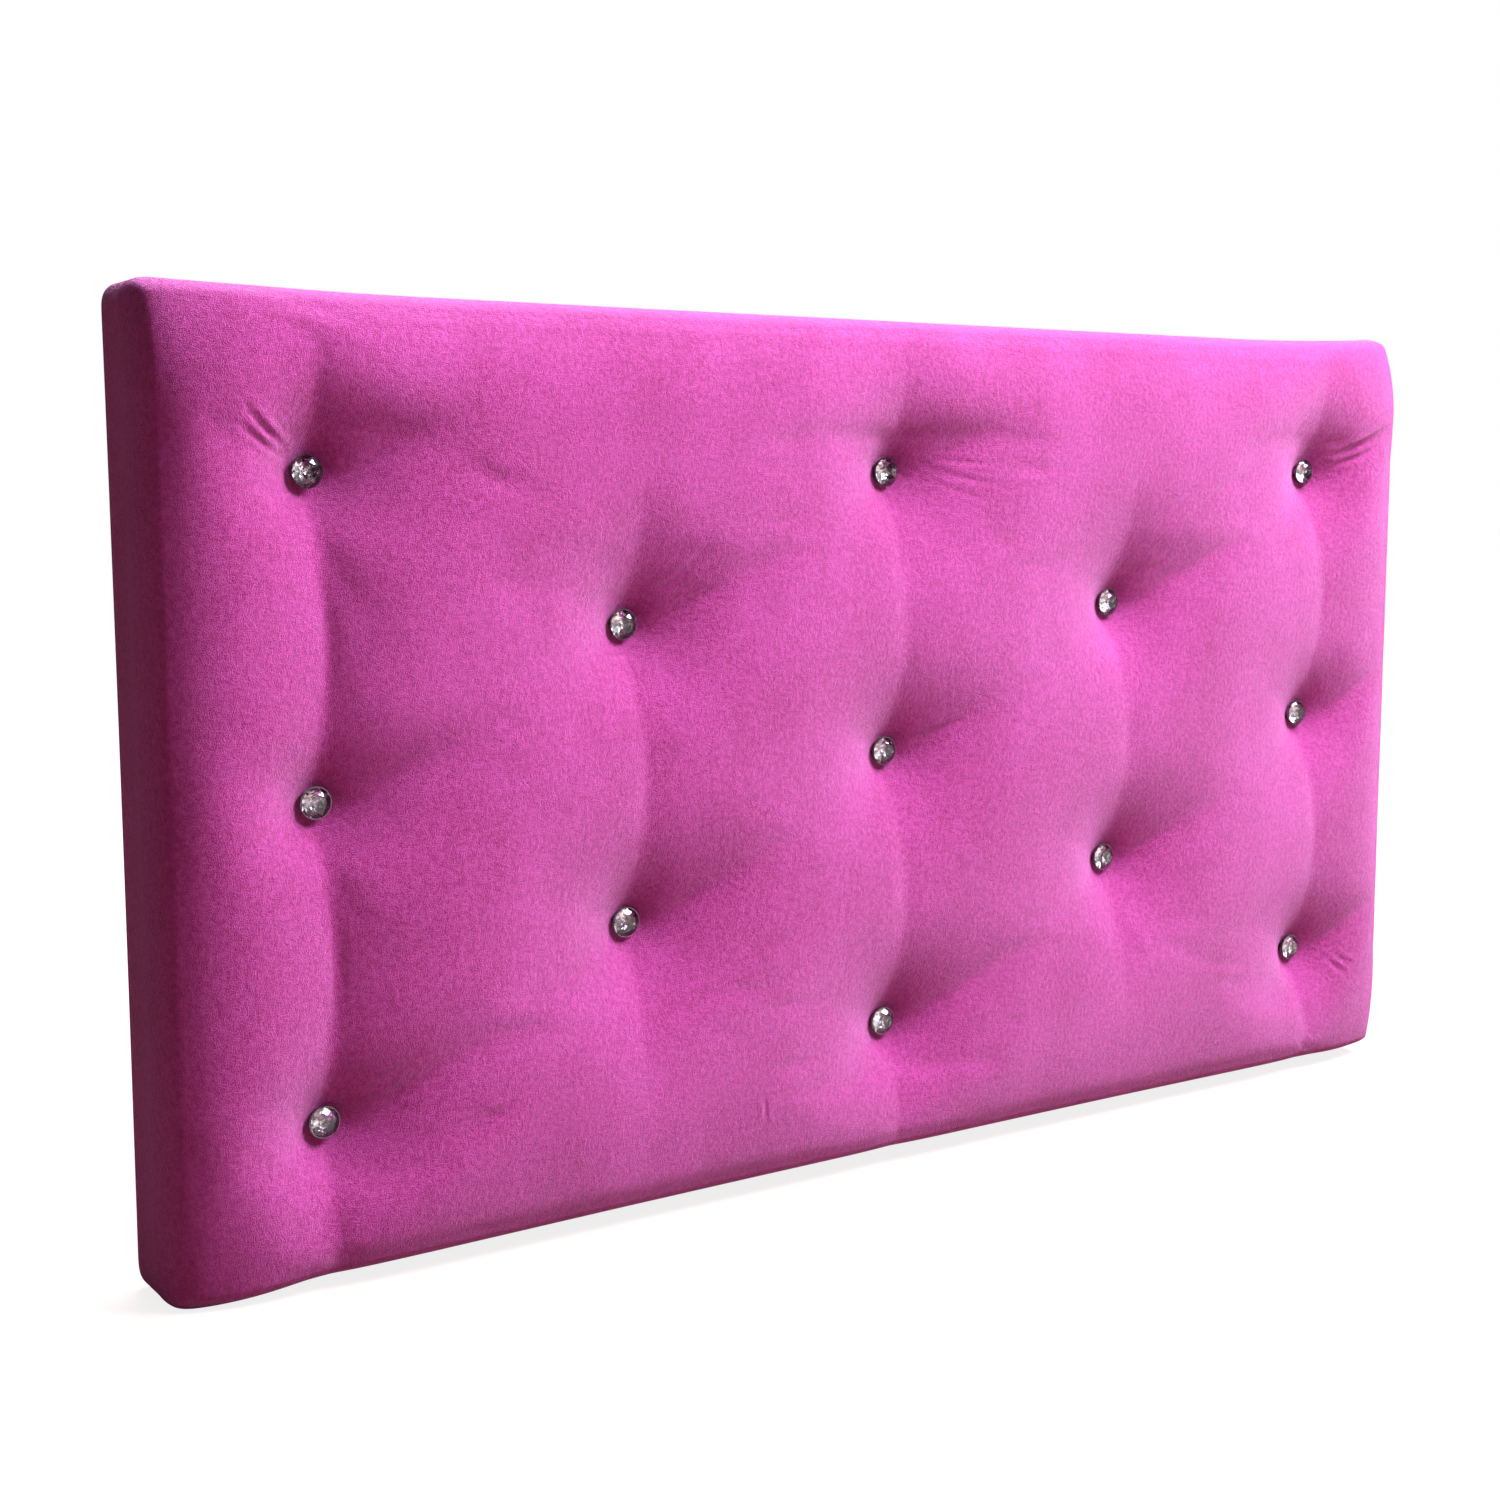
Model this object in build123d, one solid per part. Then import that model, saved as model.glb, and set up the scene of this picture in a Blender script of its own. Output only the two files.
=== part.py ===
# Padded single headboard: a softwood frame with a face board, foam, wadding and a velvet cover,
# tufted with thirteen crystal buttons. X runs along the width, Y into the wall and Z up.
# The origin is on the back of the frame, midway between the four strut bolts.
from build123d import *
from math import ceil, cos, pi, sin
import os

# Overall size of the padding
width = 900.0
height = 510.0
depth = 76.0

# Frame and face board
rail_width = 44.0
rail_depth = 20.0
board_thickness = 6.0
twine_hole_radius = 3.2
twine_hole_sides = 8

# Strut bolts, this far outside the second column from each side, and their tee nuts
strut_offset = 45.5
bolt_spacing_z = 250.0
nut_flange_radius = 11.0
nut_flange_thickness = 1.5
nut_barrel_radius = 4.9
nut_bore_radius = 3.4
nut_flange_sides = 16
nut_fit = 0.1

# Cover, wadding and dust cover
cover_thickness = 1.5
wadding_thickness = 3.0
hem_width = 38.0
dust_thickness = 0.4
dust_margin = 14.0
bolt_opening = 24.0

# Outline: the edges are drawn in between the corners
corner_radius = 15.0
top_draw = 5.0
bottom_draw = 3.0
side_draw = 2.5

# Rolled front edge
roll_width = 27.0
roll_depth = 32.0
roll_steps = 5
hidden_roll_steps = 3
roll_rise = 1.0

# Buttons: columns of three and of two by turns, the outer ones this far in from the edges
column_count = 5
long_column_count = 3
column_margin = 84.0
top_row_margin = 94.0
bottom_row_margin = 82.0

# Channels down the columns, the crown over them and the dimple at each button
channel_depth = 8.0
end_bay_drop = 9.0
crown_margin = 70.0
crown_share = 0.3
edge_drop = 16.0
end_drop = 24.0
dimple_radius = 60.0
throat_radius = 26.0
throat_depth = 13.0
neck_radius = 15.0
neck_depth = 19.0
seat_radius = 9.6
seat_depth = 27.0
dimple_sides = 16
hidden_dimple_sides = 8

# Crystals and their cups
cup_radius = 8.5
cup_base_radius = 7.0
cup_height = 5.2
rim_width = 0.5
cup_floor = 0.9
stone_fit = 0.15
stone_table_share = 0.56
stone_star_share = 0.8
stone_lower_share = 0.3
stone_crown_height = 2.7
stone_girdle = 0.5
facet_count = 8
loop_width = 4.0
loop_length = 4.6
loop_wire = 1.0

# Tufting twine
twine_radius = 0.7
twine_leg_offset = 1.6
twine_tail = 24.0
twine_sides = 6
slit_width = 5.2
slit_height = 4.4

# Staples
staple_wire = 0.7
staple_width = 1.2
staple_crown = 12.0
cover_staple_length = 8.0
dust_staple_length = 6.0
twine_staple_length = 4.5
frame_staple_crown = 24.0
frame_staple_length = 14.0
board_staple_length = 16.0
cover_staple_pitch = 100.0
dust_staple_pitch = 150.0
rail_staple_count = 5
stile_staple_count = 2

# Overrun of the cutting solids
overrun = 5.0

# Worked out from the sizes above
half_width = width / 2
half_height = height / 2
board_front = -(rail_depth + board_thickness)
frame_half_width = half_width - side_draw - wadding_thickness - cover_thickness
frame_half_height = half_height - max(top_draw, bottom_draw) - wadding_thickness - cover_thickness
opening_half_height = frame_half_height - rail_width
nut_barrel_length = rail_depth - nut_flange_thickness
crown_flat = half_height - crown_margin
seat_y = seat_depth - depth
column_pitch = (width - 2 * column_margin) / (column_count - 1)
row_pitch = (height - top_row_margin - bottom_row_margin) / (long_column_count - 1)
row_middle = (bottom_row_margin - top_row_margin) / 2
columns = [(i - (column_count - 1) / 2) * column_pitch for i in range(column_count)]
bolt_spacing_x = 2 * (columns[-2] + strut_offset)


def column_rows(i):
    """Heights of the buttons in one column, from the top."""
    count = long_column_count - i % 2
    return [row_middle + ((count - 1) / 2 - j) * row_pitch for j in range(count)]


buttons = [
    (f"{i + 1}_{j + 1}", x, z)
    for i, x in enumerate(columns)
    for j, z in enumerate(column_rows(i))
]


def block(x0, x1, y0, y1, z0, z1):
    """A box between two corners."""
    return Pos((x0 + x1) / 2, (y0 + y1) / 2, (z0 + z1) / 2) * Box(x1 - x0, y1 - y0, z1 - z0)


def along_y(radius, y0, y1, x=0.0, z=0.0):
    """A round bar along Y."""
    bar = Cylinder(radius, abs(y1 - y0))
    return Pos(x, (y0 + y1) / 2, z) * Rot(90, 0, 0) * bar


# Padded form
def outline(inset, y):
    """The front view's outline at one depth: rounded corners and sides drawn in between them."""
    w, h, r = half_width - inset, half_height - inset, corner_radius
    cut = r * (1 - cos(pi / 4))
    low, high, side = bottom_draw - h, h - top_draw, w - side_draw
    points = [
        [(r - w, -h), (0, low), (w - r, -h)],
        [(w - r, -h), (w - cut, cut - h), (w, r - h)],
        [(w, r - h), (side, 0), (w, h - r)],
        [(w, h - r), (w - cut, h - cut), (w - r, h)],
        [(w - r, h), (0, high), (r - w, h)],
        [(r - w, h), (cut - w, h - cut), (-w, h - r)],
        [(-w, h - r), (-side, 0), (-w, r - h)],
        [(-w, r - h), (cut - w, cut - h), (r - w, -h)],
    ]
    return Wire([ThreePointArc(*[(x, y, z) for x, z in arc]).edge() for arc in points])


def pillow(inset, back, steps):
    """The outline's slab with its front edge rolled all round."""
    start = inset - depth - roll_rise + roll_depth
    slab = extrude(Face(outline(inset, back)), amount=back - start, dir=(0, -1, 0))
    sections = []
    for i in range(steps + 1):
        angle = i * pi / 2 / steps
        in_by = roll_width * (1 - cos(angle))
        sections.append(outline(inset + in_by, start - roll_depth * sin(angle)))
    return slab + Solid.make_loft(sections, True)


def channelled_block():
    """Upright block, longer than the padding, crowned between each two channels and falling to its ends."""
    x_end, z_end = half_width + overrun, half_height + overrun
    low = end_drop - depth
    ends = [(-x_end, low)]
    ends += [(x, channel_depth - depth) for x in columns]
    ends += [(x_end, low)]
    edges = [Polyline((x_end, low), (x_end, overrun), (-x_end, overrun), (-x_end, low))]
    for i, ((x0, y0), (x1, y1)) in enumerate(zip(ends, ends[1:])):
        mid_y = -depth if 0 < i < column_count else end_bay_drop - depth
        edges.append(ThreePointArc((x0, y0), ((x0 + x1) / 2, mid_y), (x1, y1)))
    face = make_face(Curve() + edges)
    return Pos(0, 0, -z_end) * extrude(face, amount=2 * z_end, dir=(0, 0, 1))


def crowned_block():
    """Lying block, wider than the padding, whose front falls away to the top and bottom edges."""
    x_end, z_end = half_width + overrun, half_height + overrun
    top, low = -depth - roll_rise, edge_drop - depth
    mid_z, mid_y = (crown_flat + z_end) / 2, top + (low - top) * crown_share
    edges = [
        Polyline((low, z_end), (overrun, z_end), (overrun, -z_end), (low, -z_end)),
        ThreePointArc((low, -z_end), (mid_y, -mid_z), (top, -crown_flat)),
        Line((top, -crown_flat), (top, crown_flat)),
        ThreePointArc((top, crown_flat), (mid_y, mid_z), (low, z_end)),
    ]
    face = Plane.YZ * make_face(Curve() + edges)
    return Pos(-x_end, 0, 0) * extrude(face, amount=2 * x_end, dir=(1, 0, 0))


def dimple_profile(inset):
    """Radius and depth of the dimple's rings, from above the crown down to the button's seat."""
    rings = [(dimple_radius, -overrun), (throat_radius, throat_depth)]
    rings += [(neck_radius, neck_depth), (seat_radius, seat_depth)]
    return [(inset + r, inset + y - depth) for r, y in rings]


def faceted(rings, sides):
    """Solid of flat facets round the Y axis through rings of (radius, y); the rings go round the facets."""
    loops = [ring_points(r / cos(pi / sides), y, sides) for r, y in rings]
    faces = [Face(Wire.make_polygon(loop, close=True)) for loop in (loops[0], loops[-1])]
    for upper, lower in zip(loops, loops[1:]):
        for k in range(sides):
            m = (k + 1) % sides
            corners = [upper[k], upper[m], lower[m], lower[k]]
            faces.append(Face(Wire.make_polygon(corners, close=True)))
    return Solid(Shell(faces))


def ring_points(radius, y, count, shift=0.0):
    """Points evenly round the Y axis."""
    angles = [(k + shift) * 2 * pi / count for k in range(count)]
    return [Vector(radius * cos(a), y, radius * sin(a)) for a in angles]


def at_buttons(solid):
    """Copies of a solid, one on each button's axis."""
    return [Pos(x, 0, z) * solid for _, x, z in buttons]


def soft_layers():
    """Velvet, foam and the wadding round the frame's edge, each fitted to the next."""
    crown = channelled_block() & crowned_block()
    outer = pillow(0, cover_thickness, roll_steps) & crown
    outer -= at_buttons(faceted(dimple_profile(0), dimple_sides))
    inner = pillow(cover_thickness, 0, hidden_roll_steps) & Pos(0, cover_thickness, 0) * crown
    inner -= at_buttons(faceted(dimple_profile(cover_thickness), hidden_dimple_sides))
    x, z = half_width + overrun, half_height + overrun
    foam = inner & block(-x, x, -depth - overrun, board_front, -z, z)
    w, h = frame_half_width, frame_half_height
    timber = block(-w, w, board_front - overrun, overrun, -h, h)
    wadding = (inner & block(-x, x, board_front, overrun, -z, z)) - timber
    opening = block(hem_width - w, w - hem_width, -overrun, overrun, hem_width - h, h - hem_width)
    slit_front = seat_depth - depth - overrun
    slits = at_buttons(
        block(-slit_width / 2, slit_width / 2, slit_front, board_front, -slit_height / 2, slit_height / 2)
    )
    cover = outer - inner - opening - slits
    return foam - slits, wadding, cover


# Frame
def strut_rail(x):
    """An inner upright with the two tee-nut holes, each let in at the front for the flange."""
    rail = block(
        x - rail_width / 2, x + rail_width / 2, -rail_depth, 0, -opening_half_height, opening_half_height
    )
    seat = nut_flange_thickness - rail_depth
    flange_radius = nut_flange_radius + nut_fit
    let_in = faceted([(flange_radius, -rail_depth - overrun), (flange_radius, seat)], nut_flange_sides)
    for z in (-bolt_spacing_z / 2, bolt_spacing_z / 2):
        rail -= along_y(nut_barrel_radius + nut_fit, -rail_depth - overrun, overrun, x, z)
        rail -= Pos(x, 0, z) * let_in
    return rail


def face_board():
    """Thin board on the frame's front with a drilled hole behind each button."""
    w, h = frame_half_width, frame_half_height
    board = block(-w, w, board_front, -rail_depth, -h, h)
    corners = ring_points(twine_hole_radius, board_front - overrun, twine_hole_sides)
    mouth = Face(Wire.make_polygon(corners, close=True))
    hole = extrude(mouth, amount=board_thickness + 2 * overrun, dir=(0, 1, 0))
    return board - at_buttons(hole)


def tee_nut():
    """M8 tee nut: flange let into the rail's front and a threaded barrel open to the back."""
    seat = nut_flange_thickness - rail_depth
    flange = faceted([(nut_flange_radius, -rail_depth), (nut_flange_radius, seat)], nut_flange_sides)
    nut = flange + along_y(nut_barrel_radius, seat, seat + nut_barrel_length)
    return nut - along_y(nut_bore_radius, -rail_depth - overrun, overrun)


def tee_nuts():
    """The four nuts on the bolt pattern."""
    xs = (-bolt_spacing_x / 2, bolt_spacing_x / 2)
    zs = (-bolt_spacing_z / 2, bolt_spacing_z / 2)
    return [Pos(x, 0, z) * tee_nut() for x in xs for z in zs]


# Buttons
def kite_point(r_share, tip, girdle):
    """Where two neighbouring main facets meet, so that each main facet is flat."""
    r = girdle.X * r_share
    share = (girdle.X - r * cos(pi / facet_count)) / (girdle.X - tip.X)
    return r, girdle.Y + (tip.Y - girdle.Y) * share


def brilliant(radius, table_share, star_share, lower_share, crown, girdle, pavilion):
    """Round brilliant, table towards -Y, with the girdle's lower edge at zero."""
    n = facet_count
    upper = ring_points(radius, -girdle, 2 * n)
    lower = ring_points(radius, 0, 2 * n)
    table = ring_points(radius * table_share, -girdle - crown, n)
    r, y = kite_point(star_share, table[0], upper[0])
    stars = ring_points(r, y, n, 1 / 2)
    culet = Vector(0, pavilion, 0)
    r, y = kite_point(lower_share, culet, lower[0])
    keels = ring_points(r, y, n, 1 / 2)
    sides = [table]
    for k in range(n):
        m = (k + 1) % n
        a, b, c = 2 * k, 2 * k + 1, 2 * m
        sides += [
            [table[k], stars[k], table[m]],
            [table[k], stars[k - 1], upper[a], stars[k]],
            [stars[k], upper[a], upper[b]],
            [stars[k], upper[b], upper[c]],
            [upper[a], lower[a], lower[b], upper[b]],
            [upper[b], lower[b], lower[c], upper[c]],
            [keels[k], lower[a], lower[b]],
            [keels[k], lower[b], lower[c]],
            [lower[a], keels[k - 1], culet, keels[k]],
        ]
    return Solid(Shell([Face(Wire.make_polygon(s, close=True)) for s in sides]))


def button_cup():
    """Cup with a thin rim round the stone, a conical seat under it and a wire loop behind, base at zero."""
    sides = 2 * facet_count
    mouth = cup_radius - rim_width
    cup = faceted([(cup_base_radius, 0), (cup_radius, -cup_height)], sides)
    hollow = [(cup_floor / 2, -cup_floor), (mouth, -cup_height), (mouth, -cup_height - overrun)]
    cup -= faceted(hollow, sides)
    w, t = loop_width / 2, loop_wire / 2
    loop = block(-t, t, -cup_floor / 2, loop_length, -w, w)
    loop -= block(-overrun, overrun, -overrun, loop_length - loop_wire, loop_wire - w, w - loop_wire)
    return cup + loop


def crystal():
    """The stone, held just clear of its cup, with its girdle level with the rim."""
    radius = cup_radius - rim_width
    girdle_y = -cup_height - stone_fit
    pavilion = cup_height - cup_floor
    stone = brilliant(
        radius,
        stone_table_share,
        stone_star_share,
        stone_lower_share,
        stone_crown_height,
        stone_girdle,
        pavilion,
    )
    return Pos(0, girdle_y, 0) * stone


def twine():
    """Twine from the board's back through the shank's eye and back again, in straight tight runs."""
    back = twine_radius - rail_depth
    eye = seat_y + loop_length - loop_wire - twine_radius
    x, z = twine_leg_offset, -twine_tail
    route = Polyline((-x, back, z), (-x, back, 0), (-x, eye, 0), (x, eye, 0), (x, back, 0), (x, back, z))
    section = Plane(origin=route @ 0, z_dir=route % 0) * RegularPolygon(twine_radius, twine_sides)
    return sweep(section, path=route, transition=Transition.RIGHT)


# Staples
def staple(crown, leg):
    """A U staple with its crown's outer face at zero, legs towards -Y and crown along X."""
    outer = block(-crown / 2, crown / 2, -leg, 0, -staple_width / 2, staple_width / 2)
    inside = crown / 2 - staple_wire
    return outer - block(-inside, inside, -leg - overrun, -staple_wire, -overrun, overrun)


def spaced(span, count):
    """Places of a number of things spread evenly inside a span about zero."""
    return [(k + 1 / 2) * span / count - span / 2 for k in range(count)]


def staples_round(half_w, half_h, pitch, y, leg):
    """Staples along the four sides of a rectangle, crowns in line with the side."""
    one = staple(staple_crown, leg)
    upright = Rot(0, 90, 0) * one
    placed = []
    for x in spaced(2 * half_w, ceil(2 * half_w / pitch)):
        placed += [Pos(x, y, z) * one for z in (-half_h, half_h)]
    for z in spaced(2 * half_h, ceil(2 * half_h / pitch)):
        placed += [Pos(x, y, z) * upright for x in (-half_w, half_w)]
    return placed


def frame_staples():
    """Two wide staples across each butt joint, driven flush with the frame's back."""
    one = Rot(0, 90, 0) * staple(frame_staple_crown, frame_staple_length)
    posts = [frame_half_width - rail_width / 2, bolt_spacing_x / 2]
    return [
        Pos(side * post + off, 0, z) * one
        for side in (-1, 1)
        for post in posts
        for off in (-rail_width / 4, rail_width / 4)
        for z in (-opening_half_height, opening_half_height)
    ]


def board_staples():
    """Staples through the face board into each rail, flush with the board's front."""
    one = Pos(0, board_front, 0) * Rot(180, 0, 0) * staple(staple_crown, board_staple_length)
    upright = Rot(0, 90, 0) * one
    rail_z = frame_half_height - rail_width / 2
    posts = [frame_half_width - rail_width / 2, bolt_spacing_x / 2]
    xs = spaced(2 * frame_half_width, rail_staple_count)
    placed = [Pos(x, 0, z) * one for x in xs for z in (-rail_z, rail_z)]
    placed += [
        Pos(side * post, 0, z) * upright
        for side in (-1, 1)
        for post in posts
        for z in spaced(opening_half_height, stile_staple_count)
    ]
    return placed


def twine_staples():
    """One staple over the two tails of each twine, on the board's back."""
    lift = 2 * twine_radius + staple_wire + nut_fit
    one = Pos(0, lift - rail_depth, -twine_tail / 2) * staple(staple_crown, twine_staple_length + lift)
    return at_buttons(one)


def dust_cover():
    """Black cloth over the back, open round each bolt hole."""
    w, h = frame_half_width - dust_margin, frame_half_height - dust_margin
    cloth = block(-w, w, cover_thickness, cover_thickness + dust_thickness, -h, h)
    half = bolt_opening / 2
    for x in (-bolt_spacing_x / 2, bolt_spacing_x / 2):
        for z in (-bolt_spacing_z / 2, bolt_spacing_z / 2):
            cloth -= block(x - half, x + half, -overrun, overrun, z - half, z + half)
    return cloth


# Assembly
def build():
    """Every node by its name."""
    w, h, o = frame_half_width, frame_half_height, opening_half_height
    inner = w - rail_width
    foam, wadding, cover = soft_layers()
    nodes = {
        "top_rail": block(-w, w, -rail_depth, 0, o, h),
        "bottom_rail": block(-w, w, -rail_depth, 0, -h, -o),
        "left_stile": block(-w, -inner, -rail_depth, 0, -o, o),
        "right_stile": block(inner, w, -rail_depth, 0, -o, o),
        "left_strut_rail": strut_rail(-bolt_spacing_x / 2),
        "right_strut_rail": strut_rail(bolt_spacing_x / 2),
        "tee_nuts": tee_nuts(),
        "frame_staples": frame_staples(),
        "face_board": face_board(),
        "board_staples": board_staples(),
        "foam_pad": foam,
        "edge_wadding": wadding,
        "velvet_cover": cover,
    }
    hem = rail_width / 2
    nodes["cover_staples"] = staples_round(
        w - hem, h - hem, cover_staple_pitch, cover_thickness, cover_staple_length
    )
    nodes["dust_cover"] = dust_cover()
    edge = dust_margin + staple_width * 2
    dust_back = cover_thickness + dust_thickness
    nodes["dust_cover_staples"] = staples_round(
        w - edge, h - edge, dust_staple_pitch, dust_back, dust_staple_length
    )
    nodes["twine_staples"] = twine_staples()
    nodes["button_cups"] = at_buttons(Pos(0, seat_y, 0) * button_cup())
    stone, string = Pos(0, seat_y, 0) * crystal(), twine()
    for name, x, z in buttons:
        nodes[f"crystal_{name}"] = Pos(x, 0, z) * stone
        nodes[f"twine_{name}"] = Pos(x, 0, z) * string
    return nodes


os.makedirs("parts", exist_ok=True)
for name, shape in build().items():
    if isinstance(shape, list):
        shape = Compound([solid for piece in shape for solid in piece.solids()])
    export_step(shape, f"parts/{name}.step")
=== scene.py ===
import math

import bpy
import numpy as np
from mathutils import Matrix, Vector


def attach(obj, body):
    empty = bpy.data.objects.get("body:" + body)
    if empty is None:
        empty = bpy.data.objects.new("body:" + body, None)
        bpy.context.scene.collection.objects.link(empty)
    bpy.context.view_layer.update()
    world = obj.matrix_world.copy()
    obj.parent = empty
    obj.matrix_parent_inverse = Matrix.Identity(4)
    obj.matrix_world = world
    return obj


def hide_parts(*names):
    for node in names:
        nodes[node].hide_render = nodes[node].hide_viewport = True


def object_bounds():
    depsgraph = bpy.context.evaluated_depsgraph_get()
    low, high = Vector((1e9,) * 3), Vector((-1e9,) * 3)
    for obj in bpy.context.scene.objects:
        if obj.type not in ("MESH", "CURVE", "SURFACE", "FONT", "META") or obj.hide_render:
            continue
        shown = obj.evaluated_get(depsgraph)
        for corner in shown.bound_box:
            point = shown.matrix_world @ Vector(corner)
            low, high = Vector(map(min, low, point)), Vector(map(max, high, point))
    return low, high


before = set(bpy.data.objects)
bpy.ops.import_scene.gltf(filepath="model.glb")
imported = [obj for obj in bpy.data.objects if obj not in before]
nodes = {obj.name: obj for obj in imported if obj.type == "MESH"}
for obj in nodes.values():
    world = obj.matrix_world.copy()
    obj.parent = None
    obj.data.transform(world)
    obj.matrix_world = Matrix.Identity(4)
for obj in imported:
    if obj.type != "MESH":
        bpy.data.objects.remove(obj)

cad_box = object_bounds()


# Softwood frame: six planed 44 x 20 mm pine battens, butt jointed and stapled. The two inner uprights
# take the strut bolts. The cover wraps it all, so pine shows only inside the dust cover's bolt openings.
pine_early = (0.66, 0.45, 0.25, 1)
pine_late = (0.42, 0.23, 0.10, 1)
pine_ring_scale = (3.5, 75, 130)
pine_pore_scale = (25, 700, 1100)
pore_brown = (0.2, 0.1, 0.04, 1)


def add(tree, kind, inputs=None, **settings):
    """A shader node, with its settings made and its inputs set or linked."""
    made = tree.nodes.new(kind)
    for name, value in settings.items():
        setattr(made, name, value)
    for name, value in (inputs or {}).items():
        if isinstance(value, bpy.types.NodeSocket):
            tree.links.new(value, made.inputs[name])
        else:
            made.inputs[name].default_value = value
    return made


def between(tree, share, low, high):
    """The colour between two, by a share."""
    return add(tree, "ShaderNodeMix", {0: share, 6: low, 7: high}, data_type="RGBA").outputs[2]


def ranged(tree, value, from_low, from_high, to_low=0.0, to_high=1.0):
    """A value moved from one range to another and kept inside it."""
    sockets = {"Value": value, "From Min": from_low, "From Max": from_high, "To Min": to_low, "To Max": to_high}
    return add(tree, "ShaderNodeMapRange", sockets).outputs[0]


def stretched(tree, place, scale):
    """Places scaled by a different amount each way."""
    return add(tree, "ShaderNodeVectorMath", {0: place, 1: scale}, operation="MULTIPLY").outputs[0]


def effect(name, inputs, outputs):
    """A shader node group with named sockets, and the nodes at its two ends."""
    tree = bpy.data.node_groups.new(name, "ShaderNodeTree")
    for label, kind, value in inputs:
        tree.interface.new_socket(name=label, in_out="INPUT", socket_type=kind).default_value = value
    for label, kind in outputs:
        tree.interface.new_socket(name=label, in_out="OUTPUT", socket_type=kind)
    return tree, add(tree, "NodeGroupInput").outputs, add(tree, "NodeGroupOutput").inputs


def finish(name, **constants):
    """A material with its Principled shader, the shader's plain numbers set on its own sockets."""
    material = bpy.data.materials.new(name)
    material.use_nodes = True
    tree = material.node_tree
    shader = tree.nodes["Principled BSDF"]
    for label, value in constants.items():
        shader.inputs[label.replace("_", " ")].default_value = value
    return material, tree, shader.inputs


def use(tree, group, inputs):
    """A shader node group placed in a material."""
    return add(tree, "ShaderNodeGroup", inputs, node_tree=group).outputs


def bumped(tree, height, distance, strength=1.0, **beneath):
    """A normal from a height, over the normal beneath it where one is given."""
    return add(tree, "ShaderNodeBump", {
        "Height": height, "Distance": distance, "Strength": strength, **beneath}).outputs[0]


def object_place(tree):
    """Places in the piece's own frame."""
    return add(tree, "ShaderNodeTexCoord").outputs["Object"]


def dress(names, material):
    """Gives CAD nodes their material."""
    for name in names:
        mesh = nodes[name].data
        mesh.materials.clear()
        mesh.materials.append(material)


wood_grain, given, out = effect(
    "Wood grain",
    [("Place", "NodeSocketVector", (0, 0, 0)), ("Ring Scale", "NodeSocketVector", (4, 75, 130)),
     ("Pore Scale", "NodeSocketVector", (25, 700, 1100)), ("Early", "NodeSocketColor", (0.6, 0.4, 0.2, 1)),
     ("Late", "NodeSocketColor", (0.4, 0.2, 0.1, 1))],
    [("Color", "NodeSocketColor"), ("Pores", "NodeSocketFloat")],
)
rings = add(wood_grain, "ShaderNodeTexNoise", {
    "Vector": stretched(wood_grain, given["Place"], given["Ring Scale"]),
    "Scale": 1.0, "Detail": 5.0, "Roughness": 0.6, "Distortion": 0.6})
pores = add(wood_grain, "ShaderNodeTexNoise", {
    "Vector": stretched(wood_grain, given["Place"], given["Pore Scale"]), "Scale": 1.0, "Detail": 2.0})
late_wood = ranged(wood_grain, rings.outputs[0], 0.42, 0.62)
toned = between(wood_grain, late_wood, given["Early"], given["Late"])
pore_dark = ranged(wood_grain, pores.outputs[0], 0.5, 0.75, 0.0, 0.35)
wood_grain.links.new(between(wood_grain, pore_dark, toned, pore_brown), out["Color"])
wood_grain.links.new(pores.outputs[0], out["Pores"])


def pine(name, turn):
    """Planed pine with its grain turned to run along the batten."""
    material, tree, shader = finish(name, Roughness=0.62)
    place = object_place(tree)
    turned = add(tree, "ShaderNodeMapping", {"Vector": place, "Rotation": turn}).outputs[0]
    grain = use(tree, wood_grain, {
        "Place": turned, "Ring Scale": pine_ring_scale, "Pore Scale": pine_pore_scale,
        "Early": pine_early, "Late": pine_late})
    tree.links.new(grain["Color"], shader["Base Color"])
    tree.links.new(ranged(tree, grain["Pores"], 0.3, 0.8, 0.5, 0.75), shader["Roughness"])
    tree.links.new(bumped(tree, grain["Pores"], 0.0002), shader["Normal"])
    return material


dress(["top_rail", "bottom_rail"], pine("Pine along rail", (0, 0, 0)))
dress(["left_stile", "right_stile", "left_strut_rail", "right_strut_rail"],
      pine("Pine up stile", (0, math.pi / 2, 0)))


# Four M8 tee nuts: pressed steel with a bright zinc plating. Their flanges are let into the front of
# the inner uprights, and their threads are open to the back for the strut bolts.
zinc_bright = (0.70, 0.72, 0.74, 1)
zinc_dull = (0.42, 0.43, 0.45, 1)


def worked(tree, operation, first, second):
    """Two values brought together by an operation."""
    return add(tree, "ShaderNodeMath", {0: first, 1: second}, operation=operation).outputs[0]


plating, given, out = effect(
    "Plated steel",
    [("Place", "NodeSocketVector", (0, 0, 0)), ("Bright", "NodeSocketColor", (0.7, 0.7, 0.7, 1)),
     ("Dull", "NodeSocketColor", (0.4, 0.4, 0.4, 1)), ("Spot Size", "NodeSocketFloat", 0.004),
     ("Smooth", "NodeSocketFloat", 0.25), ("Rough", "NodeSocketFloat", 0.5)],
    [("Color", "NodeSocketColor"), ("Roughness", "NodeSocketFloat"), ("Height", "NodeSocketFloat")],
)
spots_per_metre = worked(plating, "DIVIDE", 1.0, given["Spot Size"])
spots = add(plating, "ShaderNodeTexNoise", {
    "Vector": given["Place"], "Scale": spots_per_metre, "Detail": 4.0, "Roughness": 0.65}).outputs[0]
spot_mask = ranged(plating, spots, 0.4, 0.65)
plating.links.new(between(plating, spot_mask, given["Bright"], given["Dull"]), out["Color"])
plating.links.new(ranged(plating, spot_mask, 0.0, 1.0, given["Smooth"], given["Rough"]), out["Roughness"])
plating.links.new(spots, out["Height"])


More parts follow.
